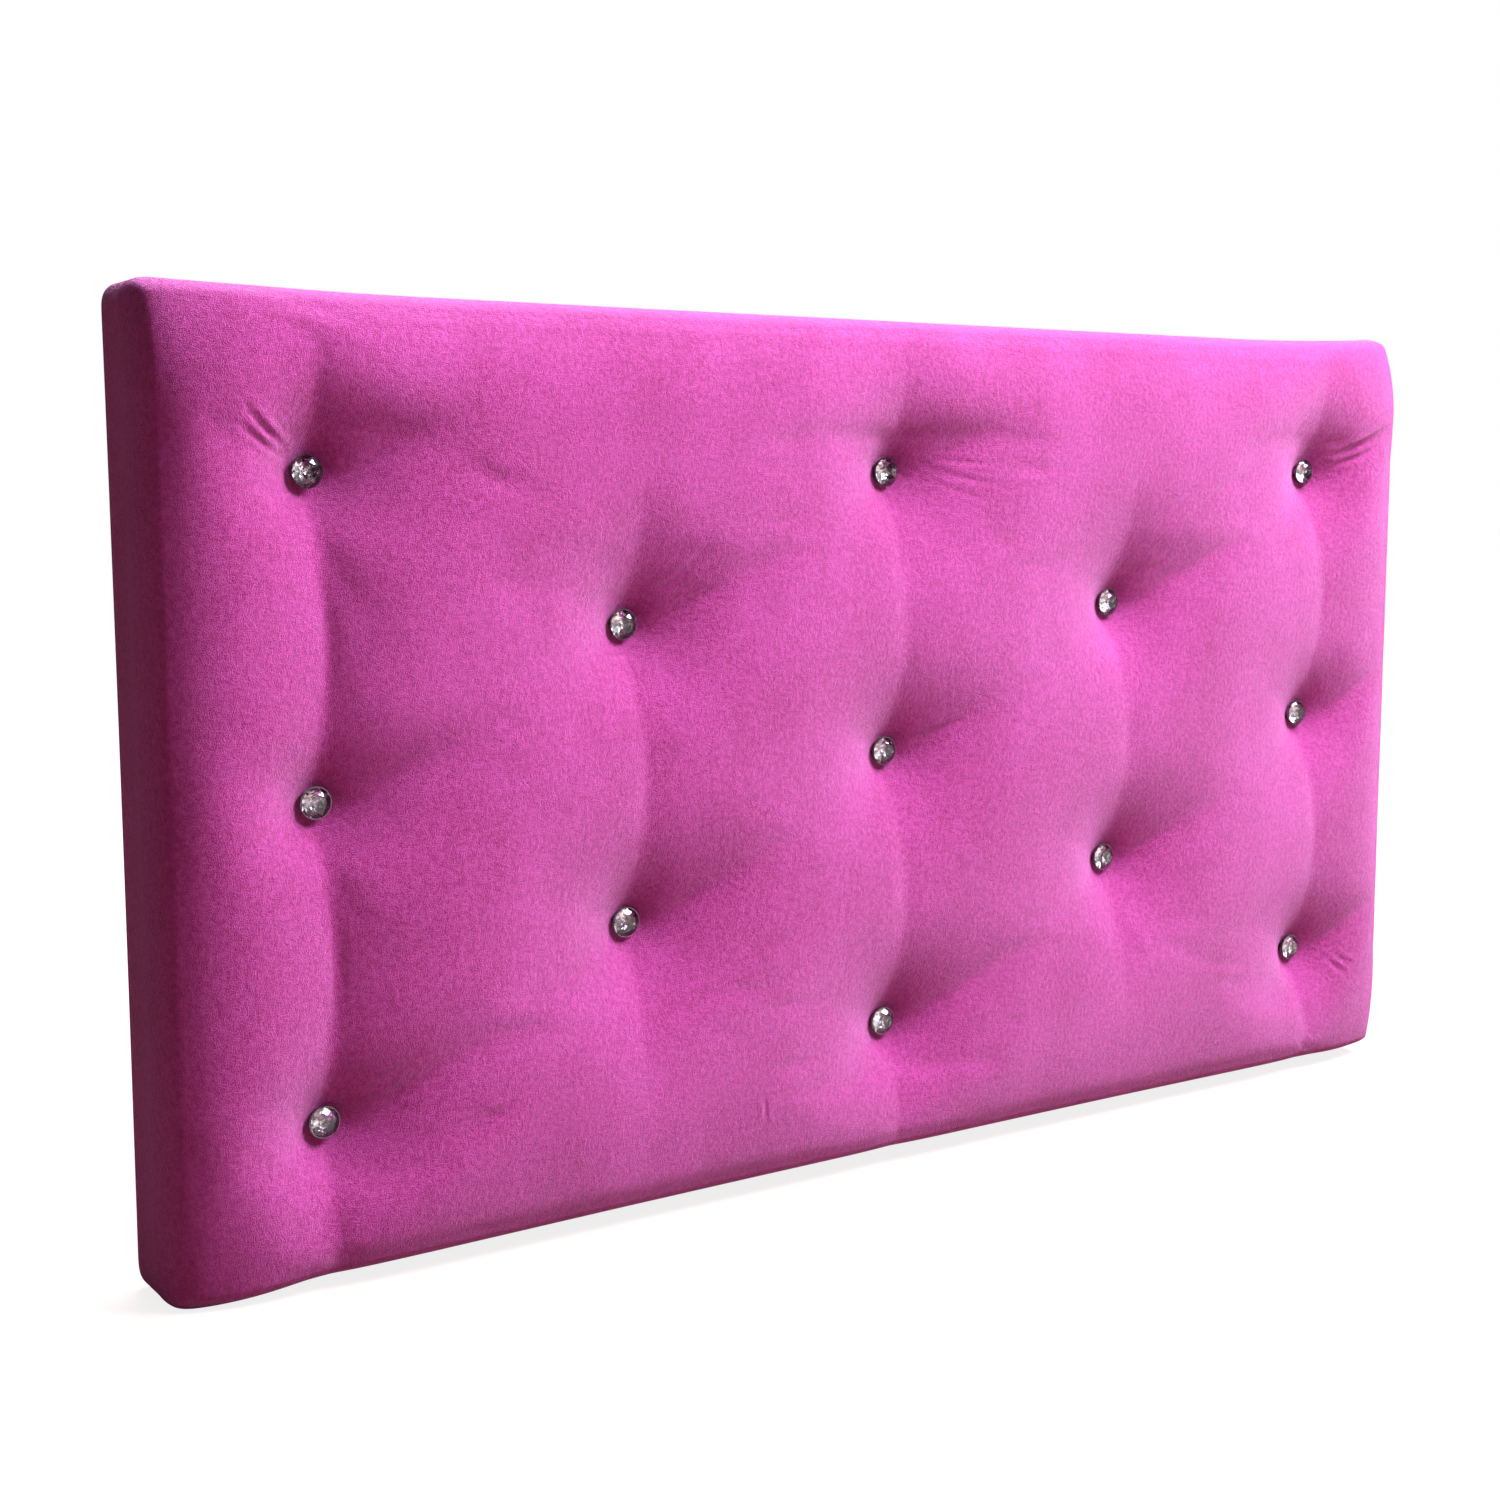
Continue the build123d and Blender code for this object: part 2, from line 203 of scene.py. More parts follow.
def plated(name, bright, dull, spot_size, smooth, rough, relief):
    """Plated or galvanised steel."""
    material, tree, shader = finish(name, Metallic=1.0)
    skin = use(tree, plating, {
        "Place": object_place(tree), "Bright": bright, "Dull": dull, "Spot Size": spot_size, "Smooth": smooth,
        "Rough": rough})
    tree.links.new(skin["Color"], shader["Base Color"])
    tree.links.new(skin["Roughness"], shader["Roughness"])
    tree.links.new(bumped(tree, skin["Height"], relief), shader["Normal"])
    return material


dress(["tee_nuts"], plated(
    "Zinc plated steel", zinc_bright, zinc_dull, spot_size=0.003, smooth=0.22, rough=0.45, relief=0.00003))


# Wire staples: galvanised steel, driven flush by a gun. Wide ones tie the frame's joints, and narrow
# ones hold the face board and the twine's tails.
galvanised_bright = (0.62, 0.63, 0.64, 1)
galvanised_dull = (0.33, 0.33, 0.35, 1)

staple_wire = plated(
    "Galvanised wire", galvanised_bright, galvanised_dull, spot_size=0.0015, smooth=0.3, rough=0.55, relief=0.00002)
dress(["frame_staples", "board_staples", "twine_staples"], staple_wire)


# Face board: 6 mm standard hardboard, smooth at the front and meshed at the back, drilled behind each
# button for the twine and stapled to the frame.
hardboard_pale = (0.34, 0.20, 0.10, 1)
hardboard_dark = (0.19, 0.10, 0.045, 1)
hardboard_fibre_scale = (260, 260, 900)
hardboard_pore_scale = (1500, 1500, 1500)

board_finish, board_tree, board_shader = finish("Hardboard", Roughness=0.6)
board_place = object_place(board_tree)
board_grain = use(board_tree, wood_grain, {
    "Place": board_place, "Ring Scale": hardboard_fibre_scale, "Pore Scale": hardboard_pore_scale,
    "Early": hardboard_pale, "Late": hardboard_dark})
board_tree.links.new(board_grain["Color"], board_shader["Base Color"])
board_tree.links.new(ranged(board_tree, board_grain["Pores"], 0.3, 0.8, 0.45, 0.8), board_shader["Roughness"])
board_tree.links.new(bumped(board_tree, board_grain["Pores"], 0.0002), board_shader["Normal"])
dress(["face_board"], board_finish)


# Foam pad: one sheet of 50 mm upholstery foam glued to the face board, its front edge drawn over into a
# roll. The buttons pull it into dimples and the cover pulls soft channels down each column of them.
half_width, half_height = 0.450, 0.255
crown_front = -0.0768
roll_width, roll_depth, roll_least, roll_ease = 0.009, 0.014, -0.026, 0.003
end_reach, left_fall, right_fall = 0.058, 0.0150, 0.0090
left_round, left_roll = 0.022, 0.006
edge_reach, top_fall, bottom_fall = 0.066, 0.0150, 0.0080
corner_reach, corner_pinch = 0.090, 0.007
ear, ear_reach = 0.008, 0.06
top_pull, top_pull_reach, bottom_pull, end_pull = 0.005, 0.15, 0.003, 0.0006
columns = (-0.366, -0.183, 0.0, 0.183, 0.366)
long_rows, short_rows = (0.161, -0.006, -0.173), (0.0775, -0.0895)
row_pitch = 0.167
channel_depths = (0.0150, 0.0050, 0.0034, 0.0032, 0.0060)
channel_spreads = (0.020, 0.017, 0.016, 0.016, 0.018)
bay_low, bay_spread = 0.6, 0.044
channel_bow = (0.0055, 0.004, 0.003, 0.003, 0.003)
channel_ease, channel_fade_up, channel_fade_down = 0.0025, 0.050, 0.075
dimple_depth, dimple_reach, dimple_power, dimple_tall = 0.027, 0.078, 2.8, 0.93
seat_radius, seat_low = 0.0078, 0.0012
dimple_folds = (  # way it runs, pull, spread and bend, the ways in degrees
    (90, 0.15, 26, 0), (270, 0.22, 20, 0), (22, 0.38, 22, 55), (158, 0.12, 20, 0), (205, 0.06, 20, 0))
fold_bend_reach = 0.012
foam_skin = 0.002
foam_cell, foam_grid_inset = 0.009, 0.016
foam_front_of_board = -0.026
foam_pale, foam_deep = (0.80, 0.74, 0.52, 1), (0.62, 0.52, 0.30, 1)


def rows_of(column):
    """Heights of the buttons in a column: three and two by turns."""
    return short_rows if column % 2 else long_rows


def channel(x, z):
    """How deep the soft channels are: deepest between two buttons, bowed a little to the right, and fading to
    the top and bottom edges. Outside the outer two the padding stays low."""
    deepest = np.zeros_like(x)
    for i, column in enumerate(columns):
        top, low = rows_of(i)[0], rows_of(i)[-1]
        bow = channel_bow[i] * np.where((z < top) & (z > low), np.sin((z - low) * math.pi / row_pitch) ** 2, 0)
        across = x - column - bow
        valley = np.sqrt(across**2 + channel_ease**2) - channel_ease
        section = np.exp(-valley / channel_spreads[i])
        if i in (0, len(columns) - 1):
            past = bay_low + (1 - bay_low) * np.clip(1 - valley / bay_spread, 0, 1) ** 2
            section = np.where(across * column > 0, past, section)
        above, below = np.maximum(z - top, 0), np.maximum(low - z, 0)
        fading = np.exp(-((above / channel_fade_up) ** 2) - (below / channel_fade_down) ** 2)
        deepest = np.maximum(deepest, channel_depths[i] * fading * section)
    return deepest


def dimple(x, z):
    """How deep the dimples at the buttons are: cones that flatten outwards, with a fold running down into them
    from each way that the cover is pulled."""
    deepest = np.zeros_like(x)
    for i, column in enumerate(columns):
        for row in rows_of(i):
            across, up = x - column, (z - row + seat_low) * dimple_tall
            away, way = np.hypot(across, up), np.degrees(np.arctan2(up, across))
            past_seat = np.maximum(away - seat_radius, 0)
            nearer = 1.0
            for fold, pull, spread, bend in dimple_folds:
                bent = bend * np.exp(-past_seat / fold_bend_reach)
                off = np.abs((way + bent - fold + 180) % 360 - 180)
                nearer = nearer - pull * np.exp(-off / spread)
            reach = np.clip(past_seat * nearer / dimple_reach, 0, 1)
            deepest = np.maximum(deepest, dimple_depth * (1 - reach) ** dimple_power)
    return deepest


def front_of_padding(x, z, skin=0.0):
    """Depth of the padding's front: crowned, falling to the edges and rounded off at the left end, its left
    corners pinched, with channels and dimples."""
    from_end, from_edge = half_width - np.abs(x), half_height - np.abs(z)
    ends = np.where(x < 0, left_fall, right_fall) * np.clip(1 - from_end / end_reach, 0, None) ** 2
    edges = np.where(z > 0, top_fall, bottom_fall) * np.clip(1 - from_edge / edge_reach, 0, None) ** 2
    turning = np.where(x < 0, np.clip(1 - from_end / left_round, 0, 1), 0)
    ends = ends + left_roll * (1 - np.sqrt(1 - turning**2))
    near_end, near_edge = (np.clip(1 - away / corner_reach, 0, 1) for away in (from_end, from_edge))
    corners = corner_pinch * near_end * near_edge * np.where(x < 0, 1, 0)
    drawn = (channel(x, z) ** 3 + dimple(x, z) ** 3) ** (1 / 3)
    return crown_front + skin + ends + edges + corners + drawn


def drawn_in(x, z):
    """The outline's pull between its corners: quick near the top corners, slow along the bottom and the ends. The
    lower left corner hangs like an ear."""
    past_corner = np.clip((half_width - np.abs(x)) / top_pull_reach, 0, 1)
    top = top_pull * (1 - (1 - past_corner) ** 2)
    low = bottom_pull * (1 - (x / half_width) ** 2) - ear * np.exp(-(((x + half_width) / ear_reach) ** 2))
    near_edge = np.clip(np.abs(z) / half_height, 0, 1) ** 8
    side = end_pull * (1 - (z / half_height) ** 2) * np.clip(np.abs(x) / half_width, 0, 1) ** 10
    return x - np.sign(x) * side, np.where(z > 0, z - top * near_edge, z + low * near_edge)


def rolled(inset):
    """How far the rolled edge has turned back at a distance in from the outline."""
    turn = np.clip(inset / roll_width, 0, 1)
    return roll_depth * (1 - np.sqrt(1 - (1 - turn) ** 2))


def lines(stops, edge, near, far):
    """Places of grid lines from edge to edge through the stops, close together at each stop."""
    marks = [-edge, *sorted(stops), edge]
    placed = [-edge]
    for start, end in zip(marks, marks[1:]):
        count = max(2, round((end - start) * 2 / (near + far)))
        steps = np.linspace(0, 1, count + 1)[1:]
        even = 1 - near * count / (end - start)
        eased_steps = steps - even * 0.5 / math.pi * np.sin(2 * math.pi * steps)
        placed += list(start + (end - start) * eased_steps)
    return np.array(placed)


def edge_points(xs, zs, inset, corner):
    """Points round the outline at an inset, in step with the front's grid lines, the corners rounded."""
    scale_x = (half_width - inset) / xs[-1]
    scale_z = (half_height - inset) / zs[-1]
    x = np.concatenate([xs[:-1], np.full(len(zs) - 1, xs[-1]), xs[:0:-1], np.full(len(zs) - 1, xs[0])]) * scale_x
    z = np.concatenate([np.full(len(xs) - 1, zs[0]), zs[:-1], np.full(len(xs) - 1, zs[-1]), zs[:0:-1]]) * scale_z
    if corner <= 0:
        return x, z
    mid_x = np.clip(x, corner + inset - half_width, half_width - inset - corner)
    mid_z = np.clip(z, corner + inset - half_height, half_height - inset - corner)
    away = np.hypot(x - mid_x, z - mid_z)
    away = np.where(away < 1e-9, 1, away)
    reach = np.where((x != mid_x) & (z != mid_z), corner, away)
    return mid_x + (x - mid_x) / away * reach, mid_z + (z - mid_z) / away * reach


def meshed(name, points, faces, smooth=True):
    """A piece from lists of arrays of points and of quads."""
    mesh = bpy.data.meshes.new(name)
    mesh.from_pydata(np.concatenate(points).tolist(), [], np.concatenate(faces).tolist())
    mesh.polygons.foreach_set("use_smooth", np.full(len(mesh.polygons), smooth))
    piece = bpy.data.objects.new(name, mesh)
    bpy.context.scene.collection.objects.link(piece)
    return piece


def wrapped(name, xs, zs, rings, skin=0.0, back=None):
    """A mesh laid over the front and down over the edges through rings of (inset, corner radius, depth, share),
    the share being how far the ring has come from the roll to that depth. A ring with no depth lies on the
    roll. back closes the mesh with a flat face at that depth."""
    grid_x, grid_z = np.meshgrid(xs, zs, indexing="ij")
    across, up = grid_x.shape
    wide, tall = drawn_in(grid_x, grid_z)
    front = front_of_padding(grid_x, grid_z, skin)
    points = [np.stack([wide, front, tall], 2).reshape(-1, 3)]
    index = np.arange(across * up).reshape(across, up)
    faces = [np.stack([index[:-1, :-1], index[1:, :-1], index[1:, 1:], index[:-1, 1:]], 2).reshape(-1, 4)]
    inner = np.concatenate([index[:-1, 0], index[-1, :-1], index[:0:-1, -1], index[0, :0:-1]])
    count, used = len(inner), across * up
    for inset, corner, depth, share in rings:
        x, z = edge_points(xs, zs, inset, corner)
        if depth is None:
            over = front_of_padding(x, z, skin) + rolled(inset - skin) - roll_least
            depth = edge = roll_least + (over - np.sqrt(over**2 + roll_ease**2)) / 2
        else:
            depth = edge * (1 - share) + depth * share
        wide, tall = drawn_in(x, z)
        points.append(np.stack([wide, np.broadcast_to(depth, wide.shape), tall], 1))
        outer = np.arange(used, used + count)
        used += count
        faces.append(np.stack([inner, outer, np.roll(outer, -1), np.roll(inner, -1)], 1))
        inner = outer
    if back is not None:
        scale = (half_width - rings[-1][0]) / xs[-1], (half_height - rings[-1][0]) / zs[-1]
        wide, tall = drawn_in(grid_x[1:-1, 1:-1] * scale[0], grid_z[1:-1, 1:-1] * scale[1])
        points.append(np.stack([wide, np.full(wide.shape, back), tall], 2).reshape(-1, 3))
        closing = np.full((across, up), -1)
        closing[1:-1, 1:-1] = np.arange(used, used + wide.size).reshape(wide.shape)
        closing[:-1, 0] = inner[:across - 1]
        closing[-1, :-1] = inner[across - 1:across + up - 2]
        closing[:0:-1, -1] = inner[across + up - 2:2 * across + up - 3]
        closing[0, :0:-1] = inner[2 * across + up - 3:]
        quads = np.stack([closing[:-1, :-1], closing[:-1, 1:], closing[1:, 1:], closing[1:, :-1]], 2)
        faces.append(quads.reshape(-1, 4))
    return meshed(name, points, faces)


foam_rings = [(inset, corner, None, 0) for inset, corner in (
    (0.013, 0.001), (0.010, 0.004), (0.007, 0.006), (0.0045, 0.008), (0.003, 0.009), (foam_skin, 0.010))]
foam_rings += [(foam_skin, 0.010, foam_front_of_board, share) for share in (0.33, 0.67, 1)]
foam_xs = lines(columns, half_width - foam_grid_inset, foam_cell / 2, foam_cell)
foam_zs = lines((*long_rows, *short_rows), half_height - foam_grid_inset, foam_cell / 2, foam_cell)
foam = wrapped("foam_block", foam_xs, foam_zs, foam_rings, foam_skin, foam_front_of_board)
foam_finish, foam_tree, foam_shader = finish("Upholstery foam", Roughness=0.9)
foam_place = object_place(foam_tree)
foam_cells = add(foam_tree, "ShaderNodeTexVoronoi", {"Vector": foam_place, "Scale": 900.0}).outputs["Distance"]
foam_aged = add(foam_tree, "ShaderNodeTexNoise", {"Vector": foam_place, "Scale": 14.0, "Detail": 3.0}).outputs[0]
foam_tree.links.new(
    between(foam_tree, ranged(foam_tree, foam_aged, 0.35, 0.7), foam_pale, foam_deep), foam_shader["Base Color"])
foam_tree.links.new(bumped(foam_tree, foam_cells, 0.0006), foam_shader["Normal"])
foam.data.materials.append(foam_finish)
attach(foam, "root")
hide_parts("foam_pad")


# Edge wadding: a strip of white polyester wadding round the edges of the frame and the board, so that
# no timber edge shows through the velvet. It is held by the tight cover alone.
wadding_out, wadding_in = 0.0018, 0.0002
frame_half = (0.443, 0.2455)
wadding_front, wadding_back = -0.0262, -0.0002
wadding_corner, wadding_round = 0.014, 0.0006
wadding_half, wadding_steps = (0.423, 0.228), (86, 47)
ripple_deep, ripple_turn = 0.0003, 2.1
wadding_white, wadding_shade = (0.86, 0.86, 0.84, 1), (0.70, 0.70, 0.69, 1)

wadding_xs, wadding_zs = (np.linspace(-half, half, steps) for half, steps in zip(wadding_half, wadding_steps))
outer_x, outer_z = drawn_in(*edge_points(wadding_xs, wadding_zs, wadding_out, wadding_corner))
inner_x, inner_z = edge_points(wadding_xs, wadding_zs, 0.0, 0.0)
inner_x = inner_x * (frame_half[0] + wadding_in) / half_width
inner_z = inner_z * (frame_half[1] + wadding_in) / half_height
ripple = ripple_deep * np.sin(np.arange(len(outer_x)) * ripple_turn)
loops = [
    (inner_x, wadding_front, inner_z), (outer_x, wadding_front + wadding_round, outer_z),
    (outer_x, wadding_front / 2 + ripple, outer_z), (outer_x, wadding_back - wadding_round, outer_z),
    (inner_x, wadding_back, inner_z), (inner_x, wadding_front / 2, inner_z)]
round_points, round_faces = [], []
for k, (x, y, z) in enumerate(loops):
    round_points.append(np.stack([x, np.broadcast_to(y, x.shape), z], 1))
    this = k * len(x) + np.arange(len(x))
    after = (k + 1) % len(loops) * len(x) + np.arange(len(x))
    round_faces.append(np.stack([this, after, np.roll(after, -1), np.roll(this, -1)], 1))
wadding = meshed("wadding_strip", round_points, round_faces, smooth=False)
wadding_finish, wadding_tree, wadding_shader = finish("Polyester wadding", Roughness=0.95, Sheen_Weight=0.4)
wadding_place = object_place(wadding_tree)
wadding_fibre = add(wadding_tree, "ShaderNodeTexNoise", {
    "Vector": wadding_place, "Scale": 350.0, "Detail": 6.0, "Distortion": 2.0}).outputs[0]
wadding_tree.links.new(
    between(wadding_tree, ranged(wadding_tree, wadding_fibre, 0.35, 0.65), wadding_white, wadding_shade),
    wadding_shader["Base Color"])
wadding_tree.links.new(bumped(wadding_tree, wadding_fibre, 0.0008), wadding_shader["Normal"])
wadding.data.materials.append(wadding_finish)
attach(wadding, "root")
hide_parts("edge_wadding")


# Velvet cover: one piece of short-pile polyester velvet pulled over the foam, down the edges and round
# to a stapled hem on the frame's back, its corners pleated. The buttons draw it into the foam.
velvet_near, velvet_far = 0.0035, 0.0065
hem_inset = 0.045
sleeve_corner = 0.0125
velvet_fold, velvet_back = -0.0015, 0.0011
swell_pressure, swell_frames, swell_most = 8.0, 16, 0.0025
swell_edge, swell_inward, swell_backward = 0.022, 1 / 8, 1 / 5
held_dimple, held_front, held_side = 0.018, -0.03, -0.030
velvet_deep = (0.30, 0.010, 0.12, 1)
velvet_bright = (0.66, 0.094, 0.42, 1)
velvet_sheen = (1.0, 0.62, 1.0, 1)

velvet_rings = [(roll_width * (1 - math.cos(a)), sleeve_corner * math.cos(a) ** 2, None, 0)
                for a in np.linspace(math.pi / 2, 0, 9)[1:]]
velvet_rings += [(0.0002 + 0.0005 * share, sleeve_corner - 0.001 * share, velvet_fold, share)
                 for share in (0.08, 0.2, 0.35, 0.5, 0.65, 0.8, 0.92, 1)]
velvet_rings += [(0.0022, 0.0095, 0.0004, 1), (0.0045, 0.008, velvet_back, 1)]
velvet_rings += [(inset, max(0.008 - inset / 4, 0.001), velvet_back, 1)
                 for inset in (0.009, 0.015, 0.021, 0.027, 0.033, 0.039)]
velvet_rings += [(hem_inset, 0.001, velvet_back, 1)]
velvet_xs = lines(columns, half_width - roll_width, velvet_near, velvet_far)
velvet_zs = lines((*long_rows, *short_rows), half_height - roll_width, velvet_near, velvet_far)
velvet = wrapped("velvet_sleeve", velvet_xs, velvet_zs, velvet_rings)


def points_of(piece):
    """The mesh's points, modifiers included, as an array."""
    seen = piece.evaluated_get(bpy.context.evaluated_depsgraph_get())
    places = np.zeros(len(seen.data.vertices) * 3, np.float32)
    seen.data.vertices.foreach_get("co", places)
    return places.reshape(-1, 3).astype(float)


def swell(piece, held):
    """Lets the cloth settle over the foam's push, with its buttoned and stapled points held. No point goes far, and
    least of all into the foam."""
    start = points_of(piece)
    group = piece.vertex_groups.new(name="held")
    group.add(held, 1.0, "REPLACE")
    cloth = piece.modifiers.new("cloth", "CLOTH")
    cloth.settings.quality = 5
    cloth.settings.mass = 0.3
    cloth.settings.tension_stiffness = 15
    cloth.settings.compression_stiffness = 15
    cloth.settings.shear_stiffness = 5
    cloth.settings.bending_stiffness = 0.5
    cloth.settings.use_pressure = True
    cloth.settings.uniform_pressure_force = swell_pressure
    cloth.settings.vertex_group_mass = "held"
    cloth.settings.effector_weights.gravity = 0
    cloth.collision_settings.use_collision = False
    cloth.point_cache.frame_end = swell_frames
    for step in range(1, swell_frames + 1):
        bpy.context.scene.frame_set(step)
    moved = points_of(piece) - start
    piece.modifiers.remove(cloth)
    bpy.context.scene.frame_set(1)
    moved[:, 1] *= np.where(moved[:, 1] > 0, swell_backward, 1)
    for axis, edge in ((0, half_width), (2, half_height)):
        inward = (np.abs(start[:, axis]) > edge - swell_edge) & (moved[:, axis] * start[:, axis] < 0)
        moved[:, axis] *= np.where(inward, swell_inward, 1)
    far = np.linalg.norm(moved, axis=1, keepdims=True)
    moved *= swell_most * np.tanh(far / swell_most) / np.maximum(far, 1e-9)
    piece.data.vertices.foreach_set("co", (start + moved).astype(np.float32).ravel())
    piece.data.update()


start = points_of(velvet)
in_button = (dimple(start[:, 0], start[:, 2]) > held_dimple) & (start[:, 1] < held_front)
held = np.flatnonzero(in_button | (start[:, 1] > held_side)).tolist()
swell(velvet, held)


def subdivided(piece, times):
    """The piece's mesh divided smoothly and kept."""
    finer = piece.modifiers.new("finer", "SUBSURF")
    finer.levels = finer.render_levels = times
    finer.boundary_smooth = "PRESERVE_CORNERS"
    seen = piece.evaluated_get(bpy.context.evaluated_depsgraph_get())
    mesh = bpy.data.meshes.new_from_object(seen)
    piece.modifiers.clear()
    piece.data = mesh


subdivided(velvet, 2)


def eased(value):
    """A smooth step between nought and one."""
    value = np.clip(value, 0, 1)
    return value * value * (3 - 2 * value)


creases = [  # start, end, depth and half width, all in metres
    (-0.404, 0.192, -0.376, 0.169, 0.0016, 0.0016), (-0.405, 0.182, -0.376, 0.166, 0.0012, 0.0016),
    (0.384, 0.170, 0.430, 0.189, 0.0016, 0.0020), (0.386, 0.164, 0.424, 0.178, 0.0012, 0.0018),
    (0.028, 0.161, 0.078, 0.151, 0.0004, 0.0016), (0.026, 0.155, 0.066, 0.141, 0.0003, 0.0014),
    (0.030, 0.168, 0.070, 0.165, 0.0004, 0.0014), (0.392, -0.183, 0.408, -0.196, 0.0009, 0.0018),
    (0.398, -0.180, 0.414, -0.190, 0.0009, 0.0018), (0.014, -0.002, 0.050, 0.012, 0.0006, 0.0020),
    (-0.171, 0.090, -0.140, 0.118, 0.0006, 0.0022), (0.195, 0.088, 0.222, 0.110, 0.0006, 0.0022),
    (-0.350, -0.160, -0.316, -0.136, 0.0006, 0.0022), (-0.106, -0.196, -0.104, -0.214, 0.0008, 0.0012)]
pleats = [(side * 0.451, end * 0.256, side * (0.420 + 0.006 * k), end * (0.232 - 0.006 * k), -0.0007, 0.0011)
          for side in (-1, 1) for end in (-1, 1) for k in (-1, 0, 1)]
crease_front, crease_fade, pleat_fade = -0.035, 0.01, 0.0008
crease_bow, crease_taper, ridge_high, ridge_away = 0.12, 0.6, 0.5, 2.2
places = points_of(velvet)
on_front, on_back = eased((crease_front - places[:, 1]) / crease_fade), eased(places[:, 1] / pleat_fade)
for x0, z0, x1, z1, deep, spread in creases + pleats:
    length = math.hypot(x1 - x0, z1 - z0)
    along = ((places[:, 0] - x0) * (x1 - x0) + (places[:, 2] - z0) * (z1 - z0)) / length**2
    off = ((places[:, 0] - x0) * (z1 - z0) - (places[:, 2] - z0) * (x1 - x0)) / length
    off = off + crease_bow * length * (along - 0.5) ** 2
    taper = np.clip(1 - np.abs(2 * along - 1), 0, 1) ** crease_taper
    ridge = ridge_high * np.exp(-(((np.abs(off) - ridge_away * spread) / spread) ** 2))
    places[:, 1] += np.where(deep > 0, on_front, on_back) * deep * taper * (np.exp(-((off / spread) ** 2)) - ridge)
velvet.data.vertices.foreach_set("co", places.astype(np.float32).ravel())
velvet.data.update()

velvet_finish, velvet_tree, velvet_shader = finish(
    "Short pile velvet", Roughness=0.85, Sheen_Weight=0.6, Sheen_Roughness=0.35, Sheen_Tint=velvet_sheen,
    Specular_IOR_Level=0.15)
pile, given, out = effect(
    "Velvet pile",
    [("Place", "NodeSocketVector", (0, 0, 0)), ("Clump Scale", "NodeSocketFloat", 380.0),
     ("Fibre Scale", "NodeSocketFloat", 2200.0), ("Brushed Scale", "NodeSocketVector", (14, 14, 9)),
     ("Crepe Scale", "NodeSocketVector", (230, 150, 110)),
     ("Deep", "NodeSocketColor", (0.5, 0.01, 0.2, 1)), ("Bright", "NodeSocketColor", (0.6, 0.03, 0.3, 1))],
    [("Color", "NodeSocketColor"), ("Height", "NodeSocketFloat"), ("Roughness", "NodeSocketFloat"),
     ("Creping", "NodeSocketFloat")],
)
clumps = add(pile, "ShaderNodeTexNoise", {
    "Vector": given["Place"], "Scale": given["Clump Scale"], "Detail": 2.0, "Roughness": 0.5}).outputs[0]
fibres = add(pile, "ShaderNodeTexNoise", {
    "Vector": given["Place"], "Scale": given["Fibre Scale"], "Detail": 1.0}).outputs[0]
brushed = add(pile, "ShaderNodeTexNoise", {
    "Vector": stretched(pile, given["Place"], given["Brushed Scale"]), "Scale": 1.0, "Detail": 4.0,
    "Roughness": 0.6}).outputs[0]
clump_mask = ranged(pile, clumps, 0.35, 0.68)
fibre_mask = ranged(pile, fibres, 0.3, 0.7)
brushed_mask = ranged(pile, brushed, 0.3, 0.7)
nap = add(pile, "ShaderNodeMath", {0: clump_mask, 1: 0.55, 2: fibre_mask}, operation="MULTIPLY_ADD").outputs[0]
mixed = add(pile, "ShaderNodeMath", {0: brushed_mask, 1: 0.5, 2: nap}, operation="MULTIPLY_ADD").outputs[0]
pile.links.new(between(pile, ranged(pile, mixed, 0.2, 1.7), given["Deep"], given["Bright"]), out["Color"])
pile.links.new(nap, out["Height"])
pile.links.new(ranged(pile, mixed, 0.2, 1.7, 0.75, 0.95), out["Roughness"])
creped_places = add(pile, "ShaderNodeTexNoise", {"Vector": given["Place"], "Scale": 9.0, "Detail": 2.0}).outputs[0]
creping = add(pile, "ShaderNodeTexNoise", {
    "Vector": stretched(pile, given["Place"], given["Crepe Scale"]), "Scale": 1.0, "Detail": 3.0,
    "Distortion": 1.2}).outputs[0]
creped_share = ranged(pile, creped_places, 0.4, 0.7, 0.25, 1.0)
pile.links.new(worked(pile, "MULTIPLY", creping, creped_share), out["Creping"])
velvet_place = object_place(velvet_tree)
velvet_pile = use(velvet_tree, pile, {"Place": velvet_place, "Deep": velvet_deep, "Bright": velvet_bright})
velvet_tree.links.new(velvet_pile["Color"], velvet_shader["Base Color"])
velvet_tree.links.new(velvet_pile["Roughness"], velvet_shader["Roughness"])
creped = bumped(velvet_tree, velvet_pile["Creping"], 0.00045)
velvet_tree.links.new(
    bumped(velvet_tree, velvet_pile["Height"], 0.0006, 0.8, Normal=creped), velvet_shader["Normal"])
velvet.data.materials.append(velvet_finish)
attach(velvet, "root")
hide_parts("velvet_cover")


# Hem staples: the same galvanised wire, in a row through the velvet's hem into the frame's back, under
# the dust cover.
dress(["cover_staples"], staple_wire)


# Dust cover: thin black spunbond cloth, stretched over the back, with its edge turned under and an
# opening cut round each bolt hole. It sags a little between the battens.
dust_half = (0.429, 0.2315)
dust_face = 0.0018
bolt_xs, bolt_zs, bolt_opening = (-0.2285, 0.2285), (-0.125, 0.125), 0.024
inside_frame, upright_half, sag_reach, sag_deep = (0.399, 0.2015), 0.022, 0.05, 0.0022
turned_width, turned_thick, turned_ease = 0.012, 0.0003, 0.002
pucker_deep, pucker_reach, pucker_turn = 0.0004, 0.09, 150
pucker_waver, waver_turn = 3, 23
dust_cell = 0.006
dust_black, dust_worn = (0.010, 0.010, 0.011, 1), (0.028, 0.028, 0.030, 1)


